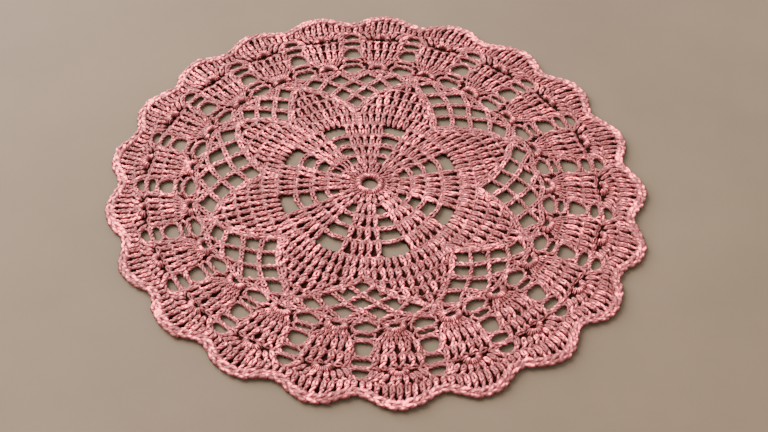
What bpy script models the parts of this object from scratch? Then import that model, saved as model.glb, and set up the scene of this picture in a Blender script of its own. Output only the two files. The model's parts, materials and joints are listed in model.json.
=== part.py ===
"""A crocheted cotton doily, about 300 mm across, lying flat.

It is worked in one piece from one yarn, so it is one solid: a padded centre ring, a flower of
eight petals with a ladder of bars in each section, a chain net between the petals, and
twenty-one fans whose last round makes the scalloped edge. Gaps over 4 mm are cut through.
"""

from math import cos, pi, radians, sin, sqrt

import bmesh
import bpy
from mathutils import Vector

MM = 0.001

# Lengths below are in millimetres and angles in degrees, measured round the flower's centre.
EDGE_RADIUS = 148.7
SCALLOPS = 21
SCALLOP_RISE = 3.9
SCALLOP_ROUNDING = 0.10
POINTS_PER_SCALLOP = 12

# The flower's centre lies a little off the middle of the finished edge. The fans lean round
# from their feet to their tops, and they crowd a little towards one side.
FLOWER_CENTRE = Vector((-4.9, -2.6))
FAN_START = 4.0
FAN_LEAN = 1.6
FAN_SWAY = 1.4
FAN_SWAY_SIDE = 215.0
COLLAR_RADIUS = 97.2
COLLAR_WAVE = 1.2

HOLE_RADIUS = 4.3
HOLE_POINTS = 20
RING_RADIUS = 6.1
RING_THICKNESS = 3.6
RING_RISE = 0.5
RING_SEGMENTS = 24
RING_SIDES = 8

CHAIN_WIDTH = 2.8
CORNER_CUT = 0.24
TIP_MARGIN = 1.5
LEVEL_SPREAD = 0.03

# One row for each section of the flower, anticlockwise: the middle of its ladder and how far
# that reaches, its petal's tip, the inner corner of the net that follows the petal, and how
# many rows that net has.
SECTIONS = (
    # ladder_deg, ladder_reach, tip_deg, net_deg, net_radius, net_rows
    (26.0, 51.0, 27.5, 54.0, 61.0, 4),
    (75.0, 49.5, 77.0, 100.5, 62.5, 4),
    (120.0, 49.5, 122.0, 137.0, 68.0, 3),
    (159.0, 51.0, 152.0, 178.0, 60.0, 4),
    (204.0, 51.5, 202.5, 225.5, 64.5, 4),
    (247.0, 53.5, 247.0, 270.0, 68.5, 4),
    (289.0, 54.5, 294.0, 315.0, 66.0, 4),
    (334.0, 50.5, 339.5, 362.0, 61.5, 4),
)

# The four gaps of a ladder, from the middle outwards.
LADDER_GAPS = (
    # inner_radius, outer_radius, half_angle
    (18.0, 23.2, 5.2),
    (25.6, 31.6, 6.2),
    (34.0, 40.8, 6.8),
    (43.0, 51.2, 7.3),
)

# The gaps round each fan. Widths are half widths, in parts of the step from fan to fan.
FAN_GAPS = (
    # place, inner_radius, outer_radius, inner_width, middle_width, outer_width
    ("under fan", 99.8, 102.8, 0.12, 0.15, 0.09),
    ("between fans", 97.6, 104.2, 0.06, 0.23, 0.13),
    ("between fans", 105.8, 108.6, 0.12, 0.16, 0.12),
    ("between fans", 111.2, 119.8, 0.15, 0.15, 0.08),
    ("between fans", 122.0, 126.4, 0.10, 0.15, 0.11),
    ("between fans", 129.0, 133.6, 0.11, 0.12, 0.05),
)

# Height of the upper side, from the middle outwards.
HEIGHTS = (
    # radius, height
    (0.0, 2.8),
    (52.0, 2.6),
    (64.0, 2.3),
    (97.0, 2.1),
    (103.0, 3.1),
    (109.0, 2.6),
    (127.0, 2.6),
    (130.0, 3.0),
    (136.0, 2.6),
    (160.0, 2.6),
)

WELD_DISTANCE = 0.00001

COTTON = (0.52, 0.20, 0.20, 1.0)
COTTON_ROUGHNESS = 0.9


def outward_part(radius):
    """How far a radius lies from the collar, 0, to the edge, 1."""
    return max(0.0, (radius - COLLAR_RADIUS) / (EDGE_RADIUS - COLLAR_RADIUS))


def place(radius, degrees):
    """Point in metres for a radius and angle round the flower's centre.

    From the collar outwards the rounds stretch or draw in, so that the edge is centred.
    """
    ray = Vector((cos(radians(degrees)), sin(radians(degrees))))
    along = FLOWER_CENTRE.dot(ray)
    reach = sqrt(EDGE_RADIUS**2 - FLOWER_CENTRE.length_squared + along**2) - along
    outward = outward_part(radius)
    return (FLOWER_CENTRE + ray * (radius + (reach - EDGE_RADIUS) * outward)) * MM


def fan_degrees(fan):
    """Angle of a fan, or of a place between two fans where the number isn't whole."""
    even = FAN_START + fan * 360.0 / SCALLOPS
    return even + FAN_SWAY * cos(radians(even - FAN_SWAY_SIDE))


def place_in_fan(radius, fan):
    """Point at a radius of a fan, which leans most at its foot."""
    return place(radius, fan_degrees(fan) + FAN_LEAN * (1.0 - outward_part(radius)))


def collar_radius(degrees):
    """Radius of the chain round that joins the net to the fans, highest under each fan."""
    even = degrees - FAN_LEAN - FAN_SWAY * cos(radians(degrees - FAN_SWAY_SIDE))
    return COLLAR_RADIUS + COLLAR_WAVE * cos(radians((even - FAN_START) * SCALLOPS))


def inset(corners, margin):
    """The same outline drawn in by a margin on every side."""
    moved = []
    for before, here, after in zip(corners[-1:] + corners[:-1], corners, corners[1:] + corners[:1]):
        back = (before - here).normalized()
        onward = (after - here).normalized()
        half_angle = back.angle(onward) / 2
        moved.append(here + (back + onward).normalized() * margin / sin(half_angle))
    return moved


def cut_corners(corners):
    """The same outline with two points in place of each corner."""
    softened = []
    for before, here, after in zip(corners[-1:] + corners[:-1], corners, corners[1:] + corners[:1]):
        softened.append(here.lerp(before, CORNER_CUT))
        softened.append(here.lerp(after, CORNER_CUT))
    return softened


def edge_outline():
    points = []
    for step in range(SCALLOPS * POINTS_PER_SCALLOP):
        fan = step / POINTS_PER_SCALLOP
        turn = 2 * pi * fan
        rise = SCALLOP_RISE * (cos(turn) - SCALLOP_ROUNDING * cos(2 * turn))
        points.append(place_in_fan(EDGE_RADIUS + rise, fan))
    return points


def centre_hole():
    return [place(HOLE_RADIUS, step * 360.0 / HOLE_POINTS) for step in range(HOLE_POINTS)]


def ladder_gaps():
    gaps = []
    for ladder, reach, _, _, _, _ in SECTIONS:
        stretch = reach / LADDER_GAPS[-1][1]
        for inner, outer, half in LADDER_GAPS:
            corners = [
                place(inner * stretch, ladder - half),
                place(outer * stretch, ladder - half),
                place(outer * stretch, ladder + half),
                place(inner * stretch, ladder + half),
            ]
            gaps.append(cut_corners(corners))
    return gaps


def net_gaps():
    """Diamond gaps of the chain net, one more in each row from the inner corner outwards."""
    gaps = []
    next_tips = [section[2] for section in SECTIONS[1:] + SECTIONS[:1]]
    for (_, _, tip, corner, corner_radius, rows), next_tip in zip(SECTIONS, next_tips):
        if next_tip < corner:
            next_tip += 360.0
        left_step = (next_tip - TIP_MARGIN - corner) / rows
        right_step = (corner - tip - TIP_MARGIN) / rows

        def knot(left, right):
            degrees = corner + left * left_step - right * right_step
            part = (left + right) / (rows + 1)
            part += LEVEL_SPREAD * sin(pi * part)
            return place(corner_radius + part * (collar_radius(degrees) - corner_radius), degrees)

        for row in range(rows):
            for right in range(row + 1):
                left = row - right
                corners = [
                    knot(left, right),
                    knot(left, right + 1),
                    knot(left + 1, right + 1),
                    knot(left + 1, right),
                ]
                gaps.append(cut_corners(inset(corners, CHAIN_WIDTH / 2 * MM)))
    return gaps


def fan_gaps():
    gaps = []
    for fan in range(SCALLOPS):
        for where, inner, outer, inner_width, middle_width, outer_width in FAN_GAPS:
            middle = fan if where == "under fan" else fan + 0.5
            half = (inner + outer) / 2
            sides = ((inner, inner_width), (half, middle_width), (outer, outer_width))
            right = [place_in_fan(radius, middle - width) for radius, width in sides]
            left = [place_in_fan(radius, middle + width) for radius, width in sides]
            gaps.append(right + left[::-1])
    return gaps


def height_at(point):
    """Height of the upper side over a point, read from the table of heights."""
    radius = (point.xy / MM - FLOWER_CENTRE).length
    for (near, low), (far, high) in zip(HEIGHTS, HEIGHTS[1:]):
        if radius <= far:
            return (low + (high - low) * (radius - near) / (far - near)) * MM
    return HEIGHTS[-1][1] * MM


def even_out(shape, faces):
    """Swap the long thin triangles of a flat side for fuller ones."""
    side = set(faces)
    inner = [edge for edge in shape.edges if set(edge.link_faces) <= side]
    bmesh.ops.beautify_fill(shape, faces=faces, edges=inner)


def make_material():
    material = bpy.data.materials.new("cotton_yarn")
    material.use_nodes = True
    shader = material.node_tree.nodes["Principled BSDF"]
    shader.inputs["Base Color"].default_value = COTTON
    shader.inputs["Roughness"].default_value = COTTON_ROUGHNESS
    shader.inputs["Metallic"].default_value = 0.0
    return material


def make_cloth(collection):
    """The flat cloth with its gaps, and its upper side raised to the heights in the table."""
    outline = bpy.data.curves.new("doily_outline", "CURVE")
    outline.dimensions = "2D"
    outline.fill_mode = "BOTH"
    outline.extrude = HEIGHTS[0][1] / 2 * MM
    for points in [edge_outline(), centre_hole(), *ladder_gaps(), *net_gaps(), *fan_gaps()]:
        spline = outline.splines.new("POLY")
        spline.points.add(len(points) - 1)
        for target, point in zip(spline.points, points):
            target.co = (point.x, point.y, 0.0, 1.0)
        spline.use_cyclic_u = True
    flat = bpy.data.objects.new("doily_outline", outline)
    collection.objects.link(flat)
    bpy.context.view_layer.update()

    mesh = bpy.data.meshes.new_from_object(flat.evaluated_get(bpy.context.evaluated_depsgraph_get()))
    bpy.data.objects.remove(flat)
    shape = bmesh.new()
    shape.from_mesh(mesh)
    bmesh.ops.remove_doubles(shape, verts=shape.verts, dist=WELD_DISTANCE)
    even_out(shape, [face for face in shape.faces if all(v.co.z > 0 for v in face.verts)])
    even_out(shape, [face for face in shape.faces if all(v.co.z < 0 for v in face.verts)])
    for vertex in shape.verts:
        vertex.co.z = height_at(vertex.co) if vertex.co.z > 0 else 0.0
    bmesh.ops.recalc_face_normals(shape, faces=shape.faces)
    shape.to_mesh(mesh)
    shape.free()
    cloth = bpy.data.objects.new("doily", mesh)
    collection.objects.link(cloth)
    return cloth


def make_ring(collection):
    """The padded ring round the middle, joined to the cloth."""
    bpy.ops.mesh.primitive_torus_add(
        major_radius=RING_RADIUS * MM,
        minor_radius=RING_THICKNESS / 2 * MM,
        major_segments=RING_SEGMENTS,
        minor_segments=RING_SIDES,
        location=(FLOWER_CENTRE * MM).to_3d() + Vector((0, 0, RING_THICKNESS / 2 + RING_RISE)) * MM,
    )
    ring = bpy.context.object
    ring.name = "centre_ring"
    ring.data.shade_smooth()
    for owner in list(ring.users_collection):
        owner.objects.unlink(ring)
    collection.objects.link(ring)
    ring.hide_render = True
    ring.display_type = "WIRE"
    return ring


def main():
    for existing in list(bpy.data.objects):
        bpy.data.objects.remove(existing)
    parts = bpy.data.collections.new("doily")
    joined = bpy.data.collections.new("joined_shapes")
    for collection in (parts, joined):
        bpy.context.scene.collection.children.link(collection)

    cloth = make_cloth(parts)
    cloth.data.materials.append(make_material())
    union = cloth.modifiers.new("padded_ring", "BOOLEAN")
    union.operation = "UNION"
    union.solver = "EXACT"
    union.object = make_ring(joined)


main()
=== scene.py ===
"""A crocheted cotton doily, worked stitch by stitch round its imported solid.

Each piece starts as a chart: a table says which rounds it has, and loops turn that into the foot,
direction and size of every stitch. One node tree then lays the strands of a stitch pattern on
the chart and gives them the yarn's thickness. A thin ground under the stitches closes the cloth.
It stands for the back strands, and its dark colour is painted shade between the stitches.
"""

import json
from math import atan2, cos, pi, radians, sin, sqrt, tau

import bmesh
import bpy
from mathutils import Matrix, Vector

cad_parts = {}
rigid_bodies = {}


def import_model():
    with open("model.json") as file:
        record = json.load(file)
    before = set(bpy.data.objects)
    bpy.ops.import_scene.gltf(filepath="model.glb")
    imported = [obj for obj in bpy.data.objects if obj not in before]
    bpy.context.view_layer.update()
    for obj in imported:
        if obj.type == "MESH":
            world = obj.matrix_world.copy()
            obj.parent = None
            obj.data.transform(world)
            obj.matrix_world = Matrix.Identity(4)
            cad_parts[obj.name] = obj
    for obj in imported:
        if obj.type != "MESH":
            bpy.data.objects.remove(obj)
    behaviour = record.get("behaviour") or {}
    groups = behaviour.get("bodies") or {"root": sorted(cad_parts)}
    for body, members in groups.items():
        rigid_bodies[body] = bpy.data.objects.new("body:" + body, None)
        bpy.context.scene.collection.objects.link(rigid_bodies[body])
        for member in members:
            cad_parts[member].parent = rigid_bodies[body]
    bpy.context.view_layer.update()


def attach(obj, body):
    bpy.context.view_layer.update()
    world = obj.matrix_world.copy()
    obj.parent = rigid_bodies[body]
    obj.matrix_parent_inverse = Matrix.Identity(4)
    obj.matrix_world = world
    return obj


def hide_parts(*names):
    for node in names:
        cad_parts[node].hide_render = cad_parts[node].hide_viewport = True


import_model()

bl_info = {
    "name": "Crocheted doily",
    "version": (1, 0, 0),
    "blender": (4, 5, 0),
    "location": "View3D > Sidebar > Doily",
    "description": "Works a round cotton doily stitch by stitch, with its light and camera",
    "category": "Object",
}

MM = 0.001
BODY = "root"
NODE = "doily"

# The cloth's own layout, in millimetres and degrees, as its solid has it.

EDGE_RADIUS = 148.7
SCALLOPS = 21
SCALLOP_RISE = 3.9
SCALLOP_ROUNDING = 0.10
POINTS_PER_SCALLOP = 12
FLOWER_CENTRE = Vector((-4.9, -2.6))
FAN_START = 4.0
FAN_LEAN = 1.6
FAN_SWAY = 1.4
FAN_SWAY_SIDE = 215.0
COLLAR_RADIUS = 97.2
COLLAR_WAVE = 1.2
HOLE_RADIUS = 4.3
HOLE_POINTS = 20
CHAIN_WIDTH = 2.8
CORNER_CUT = 0.24
TIP_MARGIN = 1.5
LEVEL_SPREAD = 0.03

# One row for each section of the flower, anticlockwise.
SECTIONS = (
    # ladder_deg, ladder_reach, tip_deg, net_deg, net_radius, net_rows
    (26.0, 51.0, 27.5, 54.0, 61.0, 4),
    (75.0, 49.5, 77.0, 100.5, 62.5, 4),
    (120.0, 49.5, 122.0, 137.0, 68.0, 3),
    (159.0, 51.0, 152.0, 178.0, 60.0, 4),
    (204.0, 51.5, 202.5, 225.5, 64.5, 4),
    (247.0, 53.5, 247.0, 270.0, 68.5, 4),
    (289.0, 54.5, 294.0, 315.0, 66.0, 4),
    (334.0, 50.5, 339.5, 362.0, 61.5, 4),
)

LADDER_GAPS = (
    # inner_radius, outer_radius, half_angle
    (18.0, 23.2, 5.2),
    (25.6, 31.6, 6.2),
    (34.0, 40.8, 6.8),
    (43.0, 51.2, 7.3),
)
# How far a ladder of this pattern's own size reaches.
LADDER_REACH = LADDER_GAPS[-1][1]

# Widths are half widths, in parts of the step from fan to fan.
FAN_GAPS = (
    # place, inner_radius, outer_radius, inner_width, middle_width, outer_width
    ("under fan", 99.8, 102.8, 0.12, 0.15, 0.09),
    ("between fans", 97.6, 104.2, 0.06, 0.23, 0.13),
    ("between fans", 105.8, 108.6, 0.12, 0.16, 0.12),
    ("between fans", 111.2, 119.8, 0.15, 0.15, 0.08),
    ("between fans", 122.0, 126.4, 0.10, 0.15, 0.11),
    ("between fans", 129.0, 133.6, 0.11, 0.12, 0.05),
)

# The rounds of stitches, from the middle outwards.

CENTRE_ROUNDS = (
    # inner_radius, outer_radius, posts
    (8.6, 12.0, 30),
    (12.0, 17.0, 24),
)
RING_CENTRE_RADIUS = 6.3
RING_WRAPS = 50
RING_CORDS = 19

WEDGE_ROUNDS = (
    # inner_radius, outer_radius, half angle of the ladder beside it
    (16.8, 24.4, 5.0),
    (24.4, 32.8, 6.0),
    (32.8, 41.9, 6.6),
    (41.9, 52.6, 7.2),
)
WEDGE_PITCH = 4.2
FEWEST_WEDGE_POSTS = 4

# How high some chains stand, as a share of their stitch's own height.
BRAID_HEIGHT = 0.88
COLLAR_HEIGHT = 0.98
NET_HEIGHT = 1.14

# Where one round of the petals ends and the next starts.
PETAL_RADII = (52.6, 61.2, 69.0, 76.5, 84.0, 91.0, 96.4)
PETAL_STEP = 3.75
PETAL_REACH = 0.1
PETAL_LEAN_POWER = 3
FLANK_MARGIN = 1.0

LADDER_BARS = (
    # radius, half_angle, bulge
    (24.4, 6.4, 0.7),
    (32.8, 7.4, 0.9),
    (41.9, 8.0, 1.1),
)

# Widths are half widths, in parts of the step from fan to fan. The lift is how much of the
# scallop's rise the round follows, and the parting is the room left open at the fan's middle.
FAN_ROUNDS = (
    # inner_radius, outer_radius, posts, inner_width, outer_width, inner_lift, outer_lift, parting
    (104.2, 107.6, 9, 0.185, 0.275, 0.0, 0.0, 0.0),
    (107.6, 111.2, 9, 0.275, 0.340, 0.0, 0.0, 0.0),
    (111.0, 119.6, 6, 0.335, 0.360, 0.0, 0.0, 0.02),
    (119.6, 127.6, 6, 0.360, 0.385, 0.0, -0.4, 0.03),
    (130.0, 136.8, 9, 0.330, 0.480, 0.7, 0.3, 0.0),
    (137.0, 144.8, 11, 0.500, 0.500, 0.3, 0.95, 0.0),
)
INNER_FAN_ROUNDS = 3
MIDDLE_FAN_ROUNDS = 5

# The padded arc round each of a fan's two eyes, in millimetres and degrees. Its height is a
# share of the stitch's own.
FAN_ARCS = (
    # eye_radius, across, outward, turn, wraps, height
    (100.9, 4.1, 2.8, 108.0, 19, 1.35),
    (128.8, 3.3, 2.5, 100.0, 13, 1.55),
)

FRAME_MARGIN = 0.9

ROPE_PITCH = 2.5
ROPES_FROM = 180.0
COLLAR_LINKS = 224
EDGE_LINKS_PER_SCALLOP = 9
EDGE_INSET = 2.3
BAR_POINTS = 9

# The strands of each stitch, in millimetres: across the stitch, along it from its foot, and
# up from the table. A stitch is as wide and long as the second table says.
STITCH_STRANDS = (
    # stitch, thickness, points
    ("cord", 1.75, ((0.0, -0.6, 1.30), (0.0, 0.8, 1.50), (0.0, 2.2, 1.30))),
    ("edge_link", 2.25, (
        (0.15, -1.7, 1.00), (-0.55, 0.2, 1.95), (-1.40, 2.2, 2.15), (-1.55, 3.9, 1.75),
        (-0.70, 5.3, 1.10),
    )),
    ("edge_link", 2.10, (
        (-0.15, -1.6, 0.95), (0.55, 0.3, 1.75), (1.35, 2.3, 1.90), (1.45, 4.0, 1.50),
        (0.70, 5.3, 1.00),
    )),
    ("head", 1.15, (
        (-2.35, 0.10, 0.95), (-0.75, -0.80, 1.80), (1.00, -0.60, 1.65), (2.35, 0.10, 0.95),
        (0.20, 0.70, 1.20), (-2.30, 0.20, 0.90),
    )),
    ("hoop", 0.92, ((0.0, -1.1, 0.8), (0.0, -0.7, 2.0), (0.0, 0.7, 2.05), (0.0, 1.9, 0.9))),
    ("link", 1.28, (
        (-0.20, -0.4, 0.70), (-0.86, 1.4, 1.50), (-0.66, 3.2, 1.60), (0.66, 3.2, 1.60),
        (0.86, 1.4, 1.50), (0.20, -0.4, 0.70),
    )),
    ("post", 1.50, (
        (0.25, -0.9, 1.10), (-0.60, 0.5, 1.70), (-0.86, 2.2, 1.85), (-0.70, 4.0, 1.85),
        (-0.05, 5.5, 2.10), (0.90, 6.9, 1.80), (1.45, 8.2, 1.15),
    )),
    ("post", 1.46, (
        (-0.25, -0.8, 1.00), (0.62, 0.7, 1.60), (0.88, 2.4, 1.75), (0.70, 4.1, 1.75),
        (0.05, 5.5, 1.30), (-0.90, 6.8, 1.60), (-1.45, 8.1, 1.05),
    )),
    ("post", 1.10, (
        (-1.15, 3.1, 1.10), (-0.80, 3.3, 2.20), (0.0, 3.8, 2.65), (0.80, 4.3, 2.20),
        (1.15, 4.5, 1.10),
    )),
    ("ring", 2.40, ((0.0, -0.6, 1.65), (0.0, 1.0, 1.75), (0.0, 2.6, 1.65))),
    ("ring_hoop", 0.80, (
        (0.0, -1.50, 1.0), (0.0, -1.35, 1.9), (0.0, -0.65, 2.75), (0.0, 0.65, 2.75),
        (0.0, 1.55, 2.0), (0.0, 2.4, 1.1),
    )),
    ("rope", 1.25, (
        (-0.72, -1.0, 0.75), (-0.48, 0.1, 1.45), (0.48, 2.1, 1.65), (0.72, 3.2, 0.85),
    )),
    ("short_post", 0.98, (
        (0.15, -0.6, 0.95), (-0.52, 0.7, 1.75), (0.48, 2.5, 2.05), (-0.35, 4.0, 1.15),
    )),
    ("short_post", 0.94, (
        (-0.15, -0.6, 0.90), (0.52, 0.7, 1.60), (-0.48, 2.5, 1.65), (0.35, 4.0, 1.05),
    )),
    ("spoke", 1.1, (
        (0.16, -0.7, 0.90), (-0.14, 1.0, 1.50), (0.14, 3.6, 1.70), (-0.12, 6.0, 1.65),
        (0.0, 7.8, 1.35),
    )),
)

STITCH_SIZES = {
    # stitch: (width, length)
    "cord": (1.0, 1.6),
    "edge_link": (4.0, 4.5),
    "head": (4.3, 1.0),
    "hoop": (1.2, 2.4),
    "link": (2.8, 2.75),
    "post": (4.3, 8.0),
    "ring": (1.0, 2.0),
    "ring_hoop": (1.2, 3.0),
    "rope": (2.4, 2.3),
    "short_post": (2.2, 3.4),
    "spoke": (2.0, 8.0),
}
STITCHES = sorted(STITCH_SIZES)
SPOKE_PITCH = 2.75
SHORTEST_POST = 4.0
WIDEST_POST = 5.2
WIDEST_SHARE = 0.72
PATTERNS = "stitch_patterns"
CHART_ATTRIBUTES = ("stitch", "turn", "size", "thickness", "along", "around")

# How uneven hand work is: the most that a stitch turns, in radians, its least and most fullness
# across, along and up, how far the yarn drifts each way, and where in its noise the swell starts.
MOST_TURN = 0.10
LEAST_FULLNESS = (0.84, 0.92, 0.86)
MOST_FULLNESS = (1.14, 1.08, 1.14)
DRIFT_REACH = (4.0, 4.0, 1.2)
SWELL_START = 0.32

NOISES = {
    # noise: (scale, detail, roughness, distortion)
    "drift": (150.0, 2.0, 0.75, 0.0),
    "swell": (24.0, 1.0, 0.5, 0.0),
    "fibre": (2600.0, 3.0, 0.6, 0.0),
    "patch": (60.0, 2.0, 0.5, 0.0),
    "painted_glint": (420.0, 1.0, 0.5, 0.0),
    "tangle": (650.0, 3.0, 0.5, 1.2),
    "ground fibre": (2600.0, 2.0, 0.5, 0.0),
    "clouds": (9.0, 5.0, 0.62, 0.0),
    "grain": (700.0, 3.0, 0.5, 0.0),
}
NOISE_SOCKETS = ("Scale", "Detail", "Roughness", "Distortion")
NOISE_MIDDLE = (0.5, 0.5, 0.5)

# The yarn's shade, 0 for deep and 1 for pale, with light and shade painted into its colour:
# the height in millimetres and the upward turn of a face from which it pales, over what range,
# how much each cause adds, and what is taken off. Low yarn and its sides get painted shade, high
# yarn and upturned faces painted light, ply grooves painted shade and the glints painted
# highlights; fibre, patch and tint are the yarn's own uneven tone.
CREST_START, CREST_RANGE = 0.9, 2.3
TOP_LIGHT_START, TOP_LIGHT_RANGE = 0.15, 0.85
CREST_SHARE = 0.50
TOP_LIGHT_SHARE = 0.52
PLY_SHARE = 0.18
FIBRE_SHARE = 0.15
PATCH_SHARE = 0.20
PAINTED_GLINT_SHARE = 1.05
TINT_SHARE = 0.25
SHADE_CUT = 1.21
YARN_STOPS = (0.0, 0.62, 0.77, 0.90)
PLY_RELIEF = 0.8
FIBRE_RELIEF = 0.25
YARN_ROUGHNESS = 0.34
FIBRE_ROUGHNESS = 0.16
ROSE_SPECULAR = (1.0, 0.2, 0.2, 1.0)

# A relief's strength, and its height in millimetres.
YARN_RELIEF = (0.9, 0.35)
GROUND_RELIEF = (0.8, 0.4)

# Tones are stops on a ramp: where each stands, and its share of the plain colour.
# The ground's colour is painted shade: the deep colour darkened by this share.
GROUND_DEPTH = 0.34
GROUND_TONES = ((0.2, 0.3), (0.8, 0.9))
GROUND_ROUGHNESS = 0.8
GROUND_FIBRE_ROUGHNESS = 0.15
FLOOR_TONES = ((0.3, 0.88), (0.7, 1.10))
CLOUD_SHARE = 0.8
GRAIN_SHARE = 0.2

GROUND_BOTTOM = 0.55
GROUND_TOP = 0.95
GROUND_EDGE_MARGIN = 1.8
GROUND_GAP_MARGIN = 0.9
GROUND_FAN_GAP_MARGIN = 0.6
WELD_DISTANCE = 0.00001
# A face of the ground is on top where its normal's Z is past this.
UPWARD = 0.5

# The camera stands where the photograph was taken from, and the window is behind the doily, to
# the left. Both places are in metres.

CAMERA_PLACE = (0.00417, -0.43550, 0.44299)
CAMERA_PITCH = 47.175
CAMERA_ROLL = 3.68
CAMERA_LENS = 51.28
SENSOR_WIDTH = 36.0
CLIP_START = 0.01
FLOOR_SIZE = 8.0
WINDOW_PLACE = (-1.05, 0.53, 0.96)
WINDOW_WIDTH = 1.6
WINDOW_COLOUR = (1.0, 0.97, 0.93)
ROOM_COLOUR = (1.0, 0.935, 0.87, 1.0)

LENGTH = {"precision": 5, "subtype": "DISTANCE", "unit": "LENGTH"}
COLOUR = {"size": 3, "min": 0.0, "max": 1.0, "subtype": "COLOR"}


class YarnSettings(bpy.types.PropertyGroup):
    """The yarn and how evenly it is worked"""

    radius: bpy.props.FloatProperty(
        name="Yarn radius", default=0.62 * MM, min=0.2 * MM, max=1.5 * MM, **LENGTH,
        description="Half the thickness of the yarn",
    )
    sides: bpy.props.IntProperty(
        name="Sides", description="Faces round a strand", default=5, min=3, max=12
    )
    smoothness: bpy.props.IntProperty(
        name="Smoothness", description="Segments between two points of a strand", default=2, min=1
    )
    unevenness: bpy.props.FloatProperty(
        name="Unevenness", default=0.5 * MM, min=0.0, **LENGTH,
        description="How far hand work moves a stitch from its place",
    )
    swell: bpy.props.FloatProperty(
        name="Swell", default=1.6 * MM, min=0.0, **LENGTH,
        description="How much higher the cloth stands where it isn't pressed flat",
    )
    seed: bpy.props.IntProperty(name="Seed", description="Which unevenness is drawn", default=4)
    twist: bpy.props.FloatProperty(
        name="Twist", default=5.0 * MM, **LENGTH,
        description="Length of yarn in which its plies turn once round",
    )
    colour: bpy.props.FloatVectorProperty(
        name="Colour", default=(0.111, 0.0312, 0.0345), **COLOUR,
        description="Rose of the yarn in the light",
    )
    # Painted highlight: the yarn's colour where painted light falls, on its crests and faces turned
    # up.
    painted_highlight_colour: bpy.props.FloatVectorProperty(
        name="Light colour", default=(1.0, 0.128, 0.154), **COLOUR,
        description="Rose of the yarn's crests, where the fibres are brushed",
    )
    # Painted shade: the yarn's colour low down, on its sides and between the stitches.
    painted_shade_colour: bpy.props.FloatVectorProperty(
        name="Deep colour", default=(0.046, 0.0138, 0.0118), **COLOUR,
        description="Rose of the yarn between the stitches",
    )


class StageSettings(bpy.types.PropertyGroup):
    """The floor and the lights"""

    floor_colour: bpy.props.FloatVectorProperty(
        name="Floor colour", default=(0.0504, 0.0352, 0.0230), **COLOUR,
        description="Pale stone under the doily",
    )
    key_power: bpy.props.FloatProperty(
        name="Key power", default=226.0, min=0.0, unit="POWER",
        description="Power of the window's light, behind the doily and to the left",
    )
    room_light: bpy.props.FloatProperty(
        name="Room light", description="Strength of the light from all round", default=3.6, min=0.0
    )


# Node trees


class Wire:
    """A socket that sums can be written on: each sign adds a Math node."""

    def __init__(self, tree, socket):
        self.tree = tree
        self.socket = socket

    def out(self, name):
        """Another output of the same node."""
        return Wire(self.tree, self.socket.node.outputs[name])

    def math(self, operation, *values):
        return add(self.tree, "ShaderNodeMath", {"operation": operation}, dict(enumerate(values)))

    def __add__(self, other):
        return self.math("ADD", self, other)

    __radd__ = __add__

    def __sub__(self, other):
        return self.math("SUBTRACT", self, other)

    def __rsub__(self, other):
        return self.math("SUBTRACT", other, self)

    def __mul__(self, other):
        return self.math("MULTIPLY", self, other)

    __rmul__ = __mul__

    def __truediv__(self, other):
        return self.math("DIVIDE", self, other)

    def absolute(self):
        return self.math("ABSOLUTE", self)

    def cosine(self):
        return self.math("COSINE", self)

    def clamped(self):
        return add(self.tree, "ShaderNodeClamp", {}, {"Value": self})


def add(tree, kind, settings=None, sockets=None):
    """The first output of a new node of that kind, with its settings and sockets filled in."""
    node = tree.nodes.new(kind)
    for name, value in (settings or {}).items():
        if name == "stops":
            while len(node.color_ramp.elements) < len(value):
                node.color_ramp.elements.new(0.5)
            for element, (position, colour) in zip(node.color_ramp.elements, value):
                element.position = position
                element.color = (*colour, 1.0)
        else:
            setattr(node, name, value)
    inputs = [socket for socket in node.inputs if socket.enabled]
    for key, value in (sockets or {}).items():
        socket = inputs[key] if isinstance(key, int) else next(s for s in inputs if s.name == key)
        if isinstance(value, Wire):
            tree.links.new(value.socket, socket)
        else:
            socket.default_value = value
    outputs = [socket for socket in node.outputs if socket.enabled]
    return Wire(tree, outputs[0]) if outputs else node


def named(tree, name, data_type="FLOAT"):
    """The chart's attribute of that name."""
    return add(
        tree, "GeometryNodeInputNamedAttribute", {"data_type": data_type}, {"Name": name}
    )


def store(tree, geometry, name, value, data_type="FLOAT", domain="POINT"):
    """The geometry with the value kept as its attribute of that name."""
    return add(
        tree,
        "GeometryNodeStoreNamedAttribute",
        {"data_type": data_type, "domain": domain},
        {"Geometry": geometry, "Name": name, "Value": value},
    )


def drawn(tree, least, most, seed, data_type="FLOAT"):
    """A random value for each point, between two limits."""
    return add(
        tree,
        "FunctionNodeRandomValue",
        {"data_type": data_type},
        {"Min": least, "Max": most, "Seed": seed},
    )


def vector_math(tree, operation, *values):
    """A sum on vectors, which each keep their three parts."""
    return add(tree, "ShaderNodeVectorMath", {"operation": operation}, dict(enumerate(values)))


def upright(tree, value):
    """A vector that is straight up, as long as the value."""
    return add(tree, "ShaderNodeCombineXYZ", {}, {"Z": value})


def parts(tree, vector):
    """The X of a vector. Its Y and Z are other outputs of the same node."""
    return add(tree, "ShaderNodeSeparateXYZ", {}, {"Vector": vector})


def noise(tree, where, name, seed=None):
    """The noise of that name in the table. A seed draws another one of its kind."""
    settings = {}
    sockets = {"Vector": where, **dict(zip(NOISE_SOCKETS, NOISES[name]))}
    if seed is not None:
        settings["noise_dimensions"] = "4D"
        sockets["W"] = seed
    return add(tree, "ShaderNodeTexNoise", settings, sockets)


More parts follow.
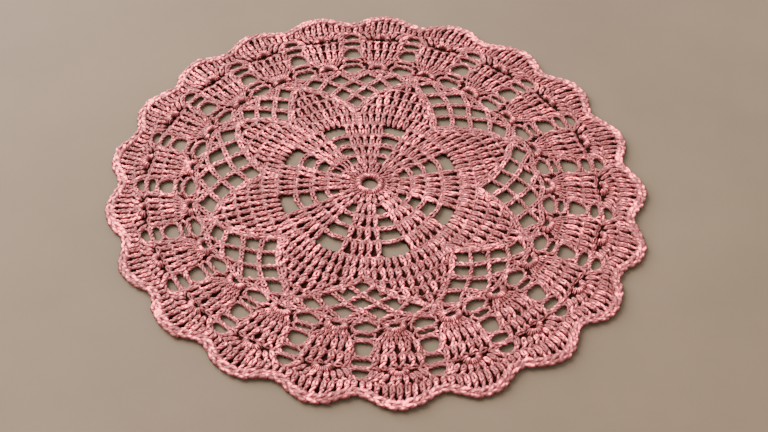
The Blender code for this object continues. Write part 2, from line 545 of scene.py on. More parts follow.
def stitch_tree():
    """The node tree that works a chart's points into yarn."""
    tree = bpy.data.node_groups.new("work_stitches", "GeometryNodeTree")
    for name, kind in (
        ("Chart", "Geometry"),
        ("Patterns", "Collection"),
        ("Yarn", "Material"),
        ("Yarn radius", "Float"),
        ("Sides", "Int"),
        ("Smoothness", "Int"),
        ("Unevenness", "Float"),
        ("Swell", "Float"),
        ("Seed", "Int"),
    ):
        tree.interface.new_socket(name, in_out="INPUT", socket_type="NodeSocket" + kind)
    tree.interface.new_socket("Cloth", in_out="OUTPUT", socket_type="NodeSocketGeometry")
    given = add(tree, "NodeGroupInput")
    seed = given.out("Seed")
    position = add(tree, "GeometryNodeInputPosition")

    # Each point of the chart gets the strands of its stitch, turned and sized a little unevenly.
    patterns = add(
        tree,
        "GeometryNodeCollectionInfo",
        {},
        {"Collection": given.out("Patterns"), "Separate Children": True, "Reset Children": True},
    )
    turn = upright(tree, named(tree, "turn") + drawn(tree, -MOST_TURN, MOST_TURN, seed))
    fullness = drawn(tree, LEAST_FULLNESS, MOST_FULLNESS, seed + 2, "FLOAT_VECTOR")
    instances = add(
        tree,
        "GeometryNodeInstanceOnPoints",
        {},
        {
            "Points": add(tree, "GeometryNodeMeshToPoints", {}, {"Mesh": given.out("Chart")}),
            "Instance": patterns,
            "Pick Instance": True,
            "Instance Index": named(tree, "stitch", "INT"),
            "Rotation": add(tree, "FunctionNodeEulerToRotation", {}, {"Euler": turn}),
            "Scale": vector_math(tree, "MULTIPLY", named(tree, "size", "FLOAT_VECTOR"), fullness),
        },
    )
    tint = drawn(tree, 0.0, 1.0, seed + 1)
    instances = store(tree, instances, "tint", tint, domain="INSTANCE")

    # The strands become smooth curves, which drift and swell as hand work does.
    strands = add(tree, "GeometryNodeRealizeInstances", {}, {"Geometry": instances})
    strands = add(tree, "GeometryNodeMeshToCurve", {}, {"Mesh": strands})
    strands = add(
        tree, "GeometryNodeCurveSplineType", {"spline_type": "CATMULL_ROM"}, {"Curve": strands}
    )
    strands = add(
        tree,
        "GeometryNodeSetSplineResolution",
        {},
        {"Geometry": strands, "Resolution": given.out("Smoothness")},
    )
    drift = noise(tree, position, "drift", seed).out("Color")
    drift = vector_math(tree, "SUBTRACT", drift, NOISE_MIDDLE)
    drift = vector_math(tree, "MULTIPLY", drift, DRIFT_REACH)
    drift = vector_math(tree, "SCALE", drift, given.out("Unevenness"))
    swell = (noise(tree, position, "swell") - SWELL_START) * given.out("Swell")
    drift = vector_math(tree, "ADD", drift, upright(tree, swell))
    strands = add(tree, "GeometryNodeSetPosition", {}, {"Geometry": strands, "Offset": drift})
    length = add(tree, "GeometryNodeSplineParameter").out("Length")
    strands = store(tree, strands, "along", length)

    # A round profile swept along them makes the yarn, which keeps each point's place on its plies.
    profile = add(
        tree,
        "GeometryNodeCurvePrimitiveCircle",
        {"mode": "RADIUS"},
        {"Resolution": given.out("Sides"), "Radius": 1.0},
    )
    yarn = add(
        tree,
        "GeometryNodeCurveToMesh",
        {},
        {
            "Curve": strands,
            "Profile Curve": store(tree, profile, "around", position, "FLOAT_VECTOR"),
            "Scale": named(tree, "thickness") * given.out("Yarn radius"),
            "Fill Caps": True,
        },
    )
    around = parts(tree, named(tree, "around", "FLOAT_VECTOR"))
    along = named(tree, "along") / MM
    ply = add(tree, "ShaderNodeCombineXYZ", {}, {"X": around, "Y": around.out("Y"), "Z": along})
    yarn = store(tree, yarn, "ply", ply, "FLOAT_VECTOR")
    yarn = add(tree, "GeometryNodeSetShadeSmooth", {}, {"Geometry": yarn})
    yarn = add(
        tree, "GeometryNodeSetMaterial", {}, {"Geometry": yarn, "Material": given.out("Yarn")}
    )
    yarn = add(tree, "GeometryNodeRealizeInstances", {}, {"Geometry": yarn})
    add(tree, "NodeGroupOutput", {}, {"Cloth": yarn})
    return tree


def new_material(name):
    """An empty node material, the tree it is built in, and the place on the piece, in metres."""
    material = bpy.data.materials.new(name)
    material.use_nodes = True
    tree = material.node_tree
    tree.nodes.clear()
    return material, tree, add(tree, "ShaderNodeTexCoord").out("Object")


def ramp(tree, shade, stops):
    """The colour for a shade, blended between the stops."""
    return add(tree, "ShaderNodeValToRGB", {"stops": tuple(stops)}, {"Fac": shade})


def bump(tree, relief, height):
    """The normal of a surface that stands up where its height does."""
    strength, distance = relief
    sockets = {"Strength": strength, "Distance": distance * MM, "Height": height}
    return add(tree, "ShaderNodeBump", {}, sockets)


def surface(tree, sockets):
    """The finish with those sockets, joined to the material's output."""
    finish = add(tree, "ShaderNodeBsdfPrincipled", {}, sockets)
    add(tree, "ShaderNodeOutputMaterial", {}, {"Surface": finish})


def yarn_material(yarn):
    """Plied rose cotton: the plies and fibres stand up a little, and painted light makes the crests
    paler.
    """
    name = "rose_cotton_yarn"
    if name in bpy.data.materials:
        return bpy.data.materials[name]
    material, tree, here = new_material(name)
    ply = parts(tree, add(tree, "ShaderNodeAttribute", {"attribute_name": "ply"}).out("Vector"))
    angle = ply.math("ARCTAN2", ply.out("Y"), ply)
    turns = ply.out("Z") * (tau * MM / yarn.twist)
    plies = (angle + turns).cosine().absolute()
    # The glint noise paints highlights; the fibre and patch noises are the yarn's own uneven tone.
    fibre, patch, painted_glint = (noise(tree, here, kind) for kind in ("fibre", "patch", "painted_glint"))
    tint = add(tree, "ShaderNodeAttribute", {"attribute_name": "tint"}).out("Fac")
    height = parts(tree, here).out("Z") / MM
    # Painted shade by height: the lower the yarn, the darker, and the higher, the paler.
    crest = ((height - CREST_START) / CREST_RANGE).clamped()
    upward = parts(tree, add(tree, "ShaderNodeNewGeometry").out("Normal")).out("Z")
    # Painted light from above: faces turned up are paler, faces turned aside darker.
    lit_from_above = ((upward - TOP_LIGHT_START) / TOP_LIGHT_RANGE).clamped()
    # The shade sums painted light and shade with the yarn's random tone; ply grooves are painted
    # darker.
    shade = crest * CREST_SHARE + lit_from_above * TOP_LIGHT_SHARE + plies * PLY_SHARE
    shade = shade + fibre * FIBRE_SHARE + patch * PATCH_SHARE + painted_glint * PAINTED_GLINT_SHARE
    shade = shade + tint * TINT_SHARE - SHADE_CUT
    halfway = [sqrt(plain * light) for plain, light in zip(yarn.colour, yarn.painted_highlight_colour)]
    colours = (yarn.painted_shade_colour, yarn.colour, halfway, yarn.painted_highlight_colour)
    raised = plies * PLY_RELIEF + fibre * FIBRE_RELIEF
    surface(
        tree,
        {
            "Base Color": ramp(tree, shade.clamped(), zip(YARN_STOPS, colours)),
            "Roughness": YARN_ROUGHNESS + fibre * FIBRE_ROUGHNESS,
            "Normal": bump(tree, YARN_RELIEF, raised),
            "Specular IOR Level": 0.2,
            "Specular Tint": ROSE_SPECULAR,
        },
    )
    return material


def ground_material(yarn):
    """The strands deep between the stitches, dark with painted shade, with a tangled relief."""
    material, tree, here = new_material("rose_cotton_ground")
    tangle, fibre = (noise(tree, here, kind) for kind in ("tangle", "ground fibre"))
    deep = Vector(yarn.painted_shade_colour) * GROUND_DEPTH
    tones = [(stop, deep * share) for stop, share in GROUND_TONES]
    surface(
        tree,
        {
            "Base Color": ramp(tree, tangle, tones),
            "Roughness": GROUND_ROUGHNESS + fibre * GROUND_FIBRE_ROUGHNESS,
            "Normal": bump(tree, GROUND_RELIEF, tangle + fibre * FIBRE_RELIEF),
            "Specular IOR Level": 0.0,
        },
    )
    return material


def floor_material(stage):
    """Pale stone with faint clouds in its colour."""
    material, tree, here = new_material("pale_stone_floor")
    clouds, grain = (noise(tree, here, kind) for kind in ("clouds", "grain"))
    shade = clouds * CLOUD_SHARE + grain * GRAIN_SHARE
    tones = [(stop, Vector(stage.floor_colour) * share) for stop, share in FLOOR_TONES]
    colour = ramp(tree, shade, tones)
    surface(tree, {"Base Color": colour, "Roughness": 0.85, "Specular IOR Level": 0.2})
    return material


# Layout


def outward_part(radius):
    """How far a radius lies from the collar, 0, to the edge, 1."""
    return max(0.0, (radius - COLLAR_RADIUS) / (EDGE_RADIUS - COLLAR_RADIUS))


def place(radius, degrees):
    """Point in metres for a radius and angle round the flower's centre.

    From the collar outwards the rounds stretch or draw in, so that the edge is centred.
    """
    ray = Vector((cos(radians(degrees)), sin(radians(degrees))))
    along = FLOWER_CENTRE.dot(ray)
    reach = sqrt(EDGE_RADIUS**2 - FLOWER_CENTRE.length_squared + along**2) - along
    outward = outward_part(radius)
    return (FLOWER_CENTRE + ray * (radius + (reach - EDGE_RADIUS) * outward)) * MM


def fan_degrees(fan):
    """Angle of a fan, or of a place between two fans where the number isn't whole."""
    even = FAN_START + fan * 360.0 / SCALLOPS
    return even + FAN_SWAY * cos(radians(even - FAN_SWAY_SIDE))


def place_in_fan(radius, fan):
    """Point at a radius of a fan, which leans most at its foot."""
    return place(radius, fan_degrees(fan) + FAN_LEAN * (1.0 - outward_part(radius)))


def collar_radius(degrees):
    """Radius of the chain round that joins the net to the fans, highest under each fan."""
    even = degrees - FAN_LEAN - FAN_SWAY * cos(radians(degrees - FAN_SWAY_SIDE))
    return COLLAR_RADIUS + COLLAR_WAVE * cos(radians((even - FAN_START) * SCALLOPS))


def scallop_rise(fan):
    """How far the edge stands out there, highest in the middle of a fan."""
    turn = tau * fan
    return SCALLOP_RISE * (cos(turn) - SCALLOP_ROUNDING * cos(2 * turn))


def neighbours(corners):
    """Each corner of an outline, between the one before it and the one after it."""
    return zip(corners[-1:] + corners[:-1], corners, corners[1:] + corners[:1])


def inset(corners, margin):
    """The same outline drawn in by a margin on every side."""
    moved = []
    for before, here, after in neighbours(corners):
        back = (before - here).normalized()
        onward = (after - here).normalized()
        half_angle = back.angle(onward) / 2
        moved.append(here + (back + onward).normalized() * margin / sin(half_angle))
    return moved


def cut_corners(corners):
    """The same outline with two points in place of each corner."""
    return [
        here.lerp(beside, CORNER_CUT)
        for before, here, after in neighbours(corners)
        for beside in (before, after)
    ]


def edge_outline(margin):
    """The scalloped edge, drawn in by a margin."""
    points = []
    for step in range(SCALLOPS * POINTS_PER_SCALLOP):
        fan = step / POINTS_PER_SCALLOP
        points.append(place_in_fan(EDGE_RADIUS - margin + scallop_rise(fan), fan))
    return points


def centre_hole():
    return [place(HOLE_RADIUS, step * 360.0 / HOLE_POINTS) for step in range(HOLE_POINTS)]


def ladder_gaps(margin):
    gaps = []
    for ladder, reach, _, _, _, _ in SECTIONS:
        stretch = reach / LADDER_REACH
        for inner, outer, half in LADDER_GAPS:
            corners = [
                place(radius * stretch, ladder + turn)
                for radius, turn in ((inner, -half), (outer, -half), (outer, half), (inner, half))
            ]
            gaps.append(cut_corners(inset(corners, -margin * MM)))
    return gaps


class Net:
    """The chain net between two petals, whose knots lie in rows that slant left and right."""

    def __init__(self, section, next_tip):
        _, _, self.tip, self.corner, self.corner_radius, self.rows = section
        if next_tip < self.corner:
            next_tip += 360.0
        self.left_step = (next_tip - TIP_MARGIN - self.corner) / self.rows
        self.right_step = (self.corner - self.tip - TIP_MARGIN) / self.rows

    def knot_polar(self, left, right):
        """Radius and angle of a knot, as many steps to the left and to the right."""
        degrees = self.corner + left * self.left_step - right * self.right_step
        part = (left + right) / (self.rows + 1)
        part += LEVEL_SPREAD * sin(pi * part)
        reach = collar_radius(degrees) - self.corner_radius
        return self.corner_radius + part * reach, degrees

    def knot(self, left, right):
        return place(*self.knot_polar(left, right))

    def cells(self):
        """The four knots of each gap, as steps to the left and to the right."""
        for row in range(self.rows):
            for right in range(row + 1):
                left = row - right
                yield (left, right), (left, right + 1), (left + 1, right + 1), (left + 1, right)

    def chains(self):
        """The pairs of knots that a chain joins."""
        pairs = set()
        for cell in self.cells():
            for start, end in zip(cell, cell[1:] + cell[:1]):
                pairs.add((min(start, end), max(start, end)))
        return sorted(pairs)

    def flank_degrees(self, radius, side):
        """Angle of the net's left or right flank at a radius, which is a petal's edge."""
        flank = [
            self.knot_polar(step, 0) if side == "left" else self.knot_polar(0, step)
            for step in range(self.rows + 1)
        ]
        if radius <= flank[0][0]:
            return flank[0][1]
        for (near, start), (far, end) in zip(flank, flank[1:]):
            if radius <= far:
                return start + (end - start) * (radius - near) / (far - near)
        return flank[-1][1]


def nets():
    next_tips = [section[2] for section in SECTIONS[1:] + SECTIONS[:1]]
    return [Net(section, next_tip) for section, next_tip in zip(SECTIONS, next_tips)]


def net_gaps(margin):
    gaps = []
    for net in nets():
        for cell in net.cells():
            corners = [net.knot(*knot) for knot in cell]
            gaps.append(cut_corners(inset(corners, (CHAIN_WIDTH / 2 - margin) * MM)))
    return gaps


def fan_gaps(margin, *places):
    """The gaps of the fans at those places, or else all of them."""
    gaps = []
    for fan in range(SCALLOPS):
        for where, inner, outer, inner_width, middle_width, outer_width in FAN_GAPS:
            if places and where not in places:
                continue
            middle = fan if where == "under fan" else fan + 0.5
            half = (inner + outer) / 2
            sides = ((inner, inner_width), (half, middle_width), (outer, outer_width))
            right = [place_in_fan(radius, middle - width) for radius, width in sides]
            left = [place_in_fan(radius, middle + width) for radius, width in sides]
            gaps.append(inset(right + left[::-1], -margin * MM))
    return gaps


# Charts


class Chart:
    """Where every stitch of a piece goes."""

    def __init__(self):
        self.feet = []
        self.stitches = []
        self.turns = []
        self.sizes = []

    def work(self, stitch, foot, top, width=None, height=1.0):
        """One stitch from its foot to its top, as wide as given."""
        own_width, own_length = STITCH_SIZES[stitch]
        reach = top - foot
        across = (width or own_width) / own_width
        along = reach.length / (own_length * MM)
        self.feet.append((foot.x, foot.y, 0.0))
        self.stitches.append(STITCHES.index(stitch))
        self.turns.append(atan2(-reach.x, reach.y))
        self.sizes.append((across, along, height))

    def post(self, foot, top, pitch):
        """A post with its head. Where posts crowd it is a slim spoke, or a short post alone."""
        if (top - foot).length < SHORTEST_POST * MM and pitch < SPOKE_PITCH:
            self.work("short_post", foot, top)
            return
        if pitch < SPOKE_PITCH:
            self.work("spoke", foot, top)
        else:
            widest = min(WIDEST_POST, (top - foot).length / MM * WIDEST_SHARE)
            self.work("post", foot, top, min(pitch, widest))
        self.work("head", top, top + (top - foot).normalized() * MM, pitch)

    def chain(self, points, stitch="link", pitch=None, closed=False, height=1.0):
        """A chain of links along a path, as long as the stitch is unless a pitch is given."""
        pitch = pitch or STITCH_SIZES[stitch][1]
        path = points + points[:1] if closed else points
        lengths = [(end - start).length for start, end in zip(path, path[1:])]
        count = max(1, round(sum(lengths) / (pitch * MM)))

        def at(share):
            left = share * sum(lengths)
            for start, end, length in zip(path, path[1:], lengths):
                if left <= length:
                    return start.lerp(end, left / length)
                left -= length
            return path[-1]

        for link in range(count):
            self.work(stitch, at(link / count), at((link + 1) / count), height=height)


def spread(count):
    """Evenly spaced places from -1 to 1, each in the middle of its share."""
    return [(2 * index + 1) / count - 1 for index in range(count)]


def flower_stretch(degrees):
    """How far the ladders reach near an angle, as a share of the pattern's own."""
    rounds = [(section[0], section[1] / LADDER_REACH) for section in SECTIONS]
    (first, first_share), (last, last_share) = rounds[0], rounds[-1]
    rounds = [(last - 360.0, last_share), *rounds, (first + 360.0, first_share)]
    degrees = degrees % 360.0
    for (start, low), (end, high) in zip(rounds, rounds[1:]):
        if start <= degrees <= end:
            return low + (high - low) * (degrees - start) / (end - start)
    return 1.0


def petal_radius(radius, degrees):
    """Radius of a petal's round, which starts at the ladders and ends at the same collar."""
    first, last = PETAL_RADII[0], PETAL_RADII[-1]
    settled = (radius - first) / (last - first)
    return radius * (1.0 + (flower_stretch(degrees) - 1.0) * (1.0 - settled))


def centre_chart():
    """The padded ring round the hole, and the posts round that."""
    chart = Chart()
    ring = [place(RING_CENTRE_RADIUS, cord * 360.0 / RING_CORDS) for cord in range(RING_CORDS)]
    chart.chain(ring, "ring", closed=True)
    for wrap in range(RING_WRAPS):
        degrees = wrap * 360.0 / RING_WRAPS
        chart.work(
            "ring_hoop",
            place(RING_CENTRE_RADIUS, degrees),
            place(RING_CENTRE_RADIUS + STITCH_SIZES["ring_hoop"][1], degrees),
        )
    for inner, outer, posts in CENTRE_ROUNDS:
        for index in range(posts):
            degrees = index * 360.0 / posts
            pitch = (inner + outer) / 2 * radians(360.0 / posts)
            chart.post(place(inner, degrees), place(outer, degrees), pitch)
    return chart


def wedge_chart():
    """The posts between the ladders, and the braid along the top of each of their rounds."""
    chart = Chart()
    for section, following in zip(SECTIONS, SECTIONS[1:] + SECTIONS[:1]):
        start = section[0]
        end = following[0] + (360.0 if following[0] < start else 0.0)
        for inner, outer, half in WEDGE_ROUNDS:
            span = end - start - 2 * half
            arc = radians(span) * (inner + outer) / 2
            count = max(FEWEST_WEDGE_POSTS, round(arc / WEDGE_PITCH))

            def at(radius, share):
                degrees = (start + end) / 2 + share * span / 2
                return place(radius * flower_stretch(degrees), degrees)

            for share in spread(count):
                chart.post(at(inner, share), at(outer, share), arc / count)
            chart.chain([at(outer, share) for share in spread(BAR_POINTS)], height=BRAID_HEIGHT)
    return chart


def petal_chart():
    """The posts of the petals, which lean with the nets' flanks beside them."""
    chart = Chart()
    around = nets()
    for net, before in zip(around, around[-1:] + around[:-1]):
        wrap = 360.0 if before.corner > net.corner else 0.0
        for inner, outer in zip(PETAL_RADII, PETAL_RADII[1:]):
            middle = (inner + outer) / 2

            def bounds(radius):
                margin = FLANK_MARGIN if radius > net.corner_radius else 0.0
                return (
                    before.flank_degrees(radius, "left") - wrap + margin,
                    net.flank_degrees(radius, "right") - margin,
                )

            right, left = bounds(middle)
            first = round((right - net.tip) / PETAL_STEP + PETAL_REACH)
            last = round((left - net.tip) / PETAL_STEP - PETAL_REACH)
            for rib in range(first, last + 1):
                degrees = net.tip + rib * PETAL_STEP
                share = (2 * degrees - left - right) / (left - right)
                share = max(-1.0, min(1.0, share))
                ends = []
                for radius in (inner, outer):
                    low, high = bounds(radius)
                    beside = (low + high) / 2 + share * (high - low) / 2
                    leaned = degrees + (beside - degrees) * abs(share) ** PETAL_LEAN_POWER
                    ends.append(place(petal_radius(radius, leaned), leaned))
                chart.post(ends[0], ends[1], radians(PETAL_STEP) * middle)
    return chart


def arched(start, end, bulge):
    """Points of a low arch from start to end, bulging away from the flower's centre."""
    points = []
    outward = ((start + end) / 2 - FLOWER_CENTRE * MM).normalized()
    for step in range(BAR_POINTS):
        share = step / (BAR_POINTS - 1)
        points.append(start.lerp(end, share) + outward * bulge * MM * sin(pi * share))
    return points


def net_chart():
    """The bars of the ladders, and the nets' chains, knots and ties to the collar."""
    chart = Chart()
    for ladder, reach, _, _, _, _ in SECTIONS:
        stretch = reach / LADDER_REACH
        for radius, half, bulge in LADDER_BARS:
            start = place(radius * stretch, ladder - half)
            end = place(radius * stretch, ladder + half)
            chart.chain(arched(start, end, bulge), height=NET_HEIGHT)
    for net in nets():
        for start, end in net.chains():
            ends = [net.knot(*start), net.knot(*end)]
            if start[0] == end[0] and net.corner > ROPES_FROM:
                chart.chain(ends, "rope", ROPE_PITCH, height=NET_HEIGHT)
            else:
                chart.chain(ends, height=NET_HEIGHT)
        for knot in sorted({knot for cell in net.cells() for knot in cell}):
            here = net.knot(*knot)
            reach = Vector((0.0, STITCH_SIZES["cord"][1] * MM))
            chart.work("cord", here - reach / 2, here + reach / 2)
        for left in range(net.rows + 1):
            radius, degrees = net.knot_polar(left, net.rows - left)
            chart.chain([place(radius, degrees), place(collar_radius(degrees), degrees)])
    return chart


def collar_chart():
    """The chain round outside the nets, the ropes round the fans' gaps and their padded eyes."""
    chart = Chart()
    step = 360.0 / COLLAR_LINKS
    ring = [place(collar_radius(link * step), link * step) for link in range(COLLAR_LINKS)]
    chart.chain(ring, closed=True, height=COLLAR_HEIGHT)
    for gap in fan_gaps(FRAME_MARGIN, "between fans"):
        chart.chain(cut_corners(gap), "rope", ROPE_PITCH, closed=True)
    for fan in range(SCALLOPS):
        for eye_radius, across, outward, turn, wraps, height in FAN_ARCS:
            eye = place_in_fan(eye_radius, fan)
            up = (place_in_fan(eye_radius + 1.0, fan) - eye).normalized()
            side = Vector((up.y, -up.x))
            cord = []
            for share in spread(wraps):
                angle = radians(turn * share)
                foot = eye + (side * across * sin(angle) + up * outward * cos(angle)) * MM
                ahead = (side * sin(angle) / across + up * cos(angle) / outward).normalized()
                top = foot + ahead * STITCH_SIZES["hoop"][1] * MM
                chart.work("hoop", foot, top, height=height)
                cord.append(foot)
            chart.chain(cord, "cord", height=height)
    return chart


def fan_chart(rounds):
    """The posts of those rounds in every fan."""
    chart = Chart()
    for fan in range(SCALLOPS):
        for row in rounds:
            inner, outer, posts, inner_width, outer_width, inner_lift, outer_lift, parting = row
            step = radians(360.0 / SCALLOPS) * (inner + outer) / 2
            for share in spread(posts):
                share += (parting if share > 0 else -parting) * (1.0 - abs(share))
                low, high = fan + share * inner_width, fan + share * outer_width
                foot = place_in_fan(inner + inner_lift * scallop_rise(low), low)
                top = place_in_fan(outer + outer_lift * scallop_rise(high), high)
                chart.post(foot, top, step * (inner_width + outer_width) / posts)
    return chart


def edge_chart():
    """The fans' last round, and the braid along the scalloped edge."""
    chart = fan_chart(FAN_ROUNDS[MIDDLE_FAN_ROUNDS:])
    edge = edge_outline(EDGE_INSET)
    pitch = tau * EDGE_RADIUS / (SCALLOPS * EDGE_LINKS_PER_SCALLOP)
    chart.chain(edge, "edge_link", pitch, closed=True)
    chart.chain(edge, "cord", STITCH_SIZES["cord"][1] * 2, closed=True)
    return chart


# Pieces


def stitch_patterns():
    """The collection that holds the strands of each stitch, made the first time it is asked for."""
    if PATTERNS in bpy.data.collections:
        return bpy.data.collections[PATTERNS]
    patterns = bpy.data.collections.new(PATTERNS)
    for stitch in STITCHES:
        points, edges, thicknesses = [], [], []
        for name, thickness, strand in STITCH_STRANDS:
            if name == stitch:
                first = len(points)
                points += [Vector(point) * MM for point in strand]
                edges += [(first + i, first + i + 1) for i in range(len(strand) - 1)]
                thicknesses += [thickness] * len(strand)
        mesh = bpy.data.meshes.new("pattern_" + stitch)
        mesh.from_pydata(points, edges, [])
        attribute = mesh.attributes.new("thickness", "FLOAT", "POINT")
        attribute.data.foreach_set("value", thicknesses)
        patterns.objects.link(bpy.data.objects.new("pattern_" + stitch, mesh))
    return patterns


def put_away_patterns():
    patterns = stitch_patterns()
    for pattern in list(patterns.objects):
        bpy.data.objects.remove(pattern)
    bpy.data.collections.remove(patterns)


def put(name, data):
    """An object of that name in the scene, unturned and at the origin."""
    thing = bpy.data.objects.new(name, data)
    bpy.context.scene.collection.objects.link(thing)
    return thing


def plain_mesh(thing):
    """The mesh that an object's modifier or curve works out to."""
    bpy.context.view_layer.update()
    depsgraph = bpy.context.evaluated_depsgraph_get()
    return bpy.data.meshes.new_from_object(thing.evaluated_get(depsgraph))


def join_frame(piece):
    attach(piece, BODY)


def crochet(name, chart, yarn):
    """A piece of the cloth, worked from its chart and joined to the frame."""
    tree = bpy.data.node_groups.get("work_stitches") or stitch_tree()
    points = bpy.data.meshes.new(name + "_chart")
    points.from_pydata(chart.feet, [], [])
    for attribute, kind, part, values in (
        ("stitch", "INT", "value", chart.stitches),
        ("turn", "FLOAT", "value", chart.turns),
        ("size", "FLOAT_VECTOR", "vector", [value for size in chart.sizes for value in size]),
    ):
        points.attributes.new(attribute, kind, "POINT").data.foreach_set(part, values)
    piece = put(name, points)
    worked = piece.modifiers.new("work_stitches", "NODES")
    worked.node_group = tree
    values = {
        "Patterns": stitch_patterns(),
        "Yarn": yarn_material(yarn),
        "Yarn radius": yarn.radius,
        "Sides": yarn.sides,
        "Smoothness": yarn.smoothness,
        "Unevenness": yarn.unevenness,
        "Swell": yarn.swell,
        "Seed": yarn.seed,
    }
    for item in tree.interface.items_tree:
        if item.in_out == "INPUT" and item.name in values:
            worked[item.identifier] = values[item.name]
    mesh = plain_mesh(piece)
    piece.modifiers.remove(worked)
    piece.data = mesh
    mesh.name = name
    bpy.data.meshes.remove(points)
    for attribute in CHART_ATTRIBUTES:
        if attribute in mesh.attributes:
            mesh.attributes.remove(mesh.attributes[attribute])
    if not mesh.polygons:
        raise RuntimeError(f"{name} came out of its node tree empty")
    join_frame(piece)


def lay_ground(yarn):
    """The thin ground under the stitches, with the cloth's outline and gaps."""
    outline = bpy.data.curves.new("ground_outline", "CURVE")
    outline.dimensions = "2D"
    outline.fill_mode = "BOTH"
    outline.extrude = (GROUND_TOP - GROUND_BOTTOM) / 2 * MM
    rings = [edge_outline(GROUND_EDGE_MARGIN), centre_hole()]
    rings += ladder_gaps(GROUND_GAP_MARGIN) + net_gaps(GROUND_GAP_MARGIN)
    rings += fan_gaps(GROUND_FAN_GAP_MARGIN)
    for points in rings:
        spline = outline.splines.new("POLY")
        spline.points.add(len(points) - 1)
        for target, point in zip(spline.points, points):
            target.co = (point.x, point.y, 0.0, 1.0)
        spline.use_cyclic_u = True
    flat = put("ground_outline", outline)
    mesh = plain_mesh(flat)
    bpy.data.objects.remove(flat)
    shape = bmesh.new()
    shape.from_mesh(mesh)
    bmesh.ops.remove_doubles(shape, verts=shape.verts, dist=WELD_DISTANCE)
    middle = (GROUND_TOP + GROUND_BOTTOM) / 2 * MM
    bmesh.ops.translate(shape, verts=shape.verts, vec=(0.0, 0.0, middle))
    bmesh.ops.recalc_face_normals(shape, faces=shape.faces)
    area = sum(face.calc_area() for face in shape.faces if face.normal.z > UPWARD)
    shape.to_mesh(mesh)
    shape.free()
    mesh.materials.append(ground_material(yarn))
    ground = put("doily_ground", mesh)
    join_frame(ground)
    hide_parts(NODE)


# Stage


def make_floor(stage):
    mesh = bpy.data.meshes.new("floor")
    half = FLOOR_SIZE / 2
    corners = [(-half, -half, 0.0), (half, -half, 0.0), (half, half, 0.0), (-half, half, 0.0)]
    mesh.from_pydata(corners, [], [(0, 1, 2, 3)])
    mesh.materials.append(floor_material(stage))
    put("floor", mesh)


def make_window(power):
    """A soft round light that points at the middle of the doily."""
    lamp = bpy.data.lights.new("window", "AREA")
    lamp.shape = "DISK"
    lamp.size = WINDOW_WIDTH
    lamp.energy = power
    lamp.color = WINDOW_COLOUR
    light = put("window", lamp)
    light.location = WINDOW_PLACE
    light.rotation_euler = (-Vector(WINDOW_PLACE)).to_track_quat("-Z", "Y").to_euler()


def make_world(strength):
    """The even light from all round."""
    world = bpy.data.worlds.new("soft_room")
    bpy.context.scene.world = world
    world.use_nodes = True
    background = world.node_tree.nodes["Background"]
    background.inputs["Color"].default_value = ROOM_COLOUR
    background.inputs["Strength"].default_value = strength


def make_camera():
    """The camera looks down at the photograph's pitch, a few degrees off level."""
    pitch, roll = radians(CAMERA_PITCH), radians(CAMERA_ROLL)
    level = Vector((1.0, 0.0, 0.0))
    ahead = Vector((0.0, cos(pitch), -sin(pitch)))
    upward = Vector((0.0, sin(pitch), cos(pitch)))
    right = level * cos(roll) + upward * sin(roll)
    up = upward * cos(roll) - level * sin(roll)
    lens = bpy.data.cameras.new("camera")
    lens.sensor_fit = "HORIZONTAL"
    lens.sensor_width = SENSOR_WIDTH
    lens.lens = CAMERA_LENS
    lens.clip_start = CLIP_START
    camera = put("camera", lens)
    turn = Matrix((right, up, -ahead)).transposed().to_4x4()
    camera.matrix_world = Matrix.Translation(CAMERA_PLACE) @ turn
    bpy.context.scene.camera = camera


# Operators, in the order in which the panel lists them


class DOILY_OT_centre(bpy.types.Operator):
    """Work the padded ring and the first rounds of the flower"""

    bl_idname = "doily.centre"
    bl_label = "Work the centre"

    def execute(self, context):
        crochet("centre", centre_chart(), context.scene.doily_yarn)
        return {"FINISHED"}


class DOILY_OT_flower(bpy.types.Operator):
    """Work the flower's wedges between the ladders, and its petals"""

    bl_idname = "doily.flower"
    bl_label = "Work the flower"

    def execute(self, context):
        crochet("flower_wedges", wedge_chart(), context.scene.doily_yarn)
        crochet("flower_petals", petal_chart(), context.scene.doily_yarn)
        return {"FINISHED"}


class DOILY_OT_chains(bpy.types.Operator):
    """Chain the ladders, the nets and the collar, and edge the gaps and eyes of the fans"""

    bl_idname = "doily.chains"
    bl_label = "Chain the net"

    def execute(self, context):
        crochet("chain_net", net_chart(), context.scene.doily_yarn)
        crochet("collar", collar_chart(), context.scene.doily_yarn)
        return {"FINISHED"}


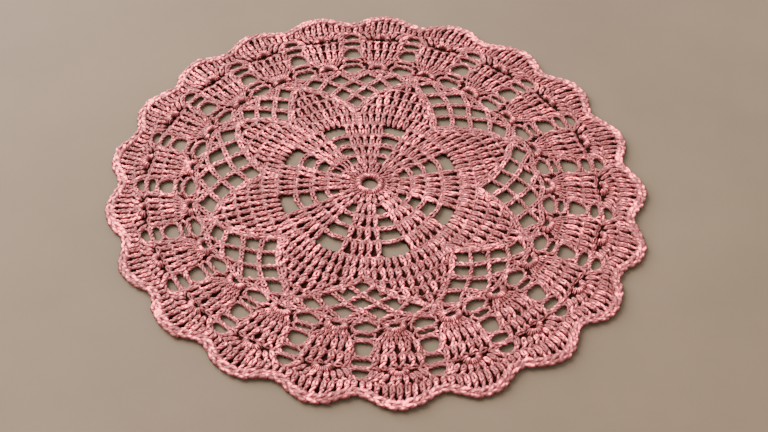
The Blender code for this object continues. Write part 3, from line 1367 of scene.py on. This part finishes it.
class DOILY_OT_fans(bpy.types.Operator):
    """Work the fans, and the braided edge round them"""

    bl_idname = "doily.fans"
    bl_label = "Work the fans"

    def execute(self, context):
        yarn = context.scene.doily_yarn
        crochet("fans_inner", fan_chart(FAN_ROUNDS[:INNER_FAN_ROUNDS]), yarn)
        crochet("fans_middle", fan_chart(FAN_ROUNDS[INNER_FAN_ROUNDS:MIDDLE_FAN_ROUNDS]), yarn)
        crochet("fans_outer", edge_chart(), yarn)
        put_away_patterns()
        return {"FINISHED"}


class DOILY_OT_ground(bpy.types.Operator):
    """Lay the ground under the stitches"""

    bl_idname = "doily.ground"
    bl_label = "Lay the ground"

    def execute(self, context):
        lay_ground(context.scene.doily_yarn)
        return {"FINISHED"}


class DOILY_OT_stage(bpy.types.Operator):
    """Set up the floor, the lights and the camera"""

    bl_idname = "doily.stage"
    bl_label = "Set the stage"

    def execute(self, context):
        stage = context.scene.doily_stage
        make_floor(stage)
        make_window(stage.key_power)
        make_world(stage.room_light)
        make_camera()
        return {"FINISHED"}


class DOILY_PT_panel(bpy.types.Panel):
    """The doily's sizes, colours and pieces"""

    bl_idname = "DOILY_PT_panel"
    bl_label = "Crocheted doily"
    bl_space_type = "VIEW_3D"
    bl_region_type = "UI"
    bl_category = "Doily"

    def draw(self, context):
        for settings in (context.scene.doily_yarn, context.scene.doily_stage):
            for name in type(settings).__annotations__:
                self.layout.prop(settings, name)
        for operator in OPERATORS:
            self.layout.operator(operator.bl_idname)


SETTINGS = {"doily_yarn": YarnSettings, "doily_stage": StageSettings}
OPERATORS = (
    DOILY_OT_centre,
    DOILY_OT_flower,
    DOILY_OT_chains,
    DOILY_OT_fans,
    DOILY_OT_ground,
    DOILY_OT_stage,
)
CLASSES = (*SETTINGS.values(), *OPERATORS, DOILY_PT_panel)


def register():
    for cls in CLASSES:
        bpy.utils.register_class(cls)
    for name, cls in SETTINGS.items():
        setattr(bpy.types.Scene, name, bpy.props.PointerProperty(type=cls))


def unregister():
    for name in SETTINGS:
        delattr(bpy.types.Scene, name)
    for cls in reversed(CLASSES):
        bpy.utils.unregister_class(cls)


def main():
    register()
    bpy.ops.doily.centre()
    bpy.ops.doily.flower()
    bpy.ops.doily.chains()
    bpy.ops.doily.fans()
    bpy.ops.doily.ground()
    bpy.ops.doily.stage()


if __name__ == "__main__":
    main()
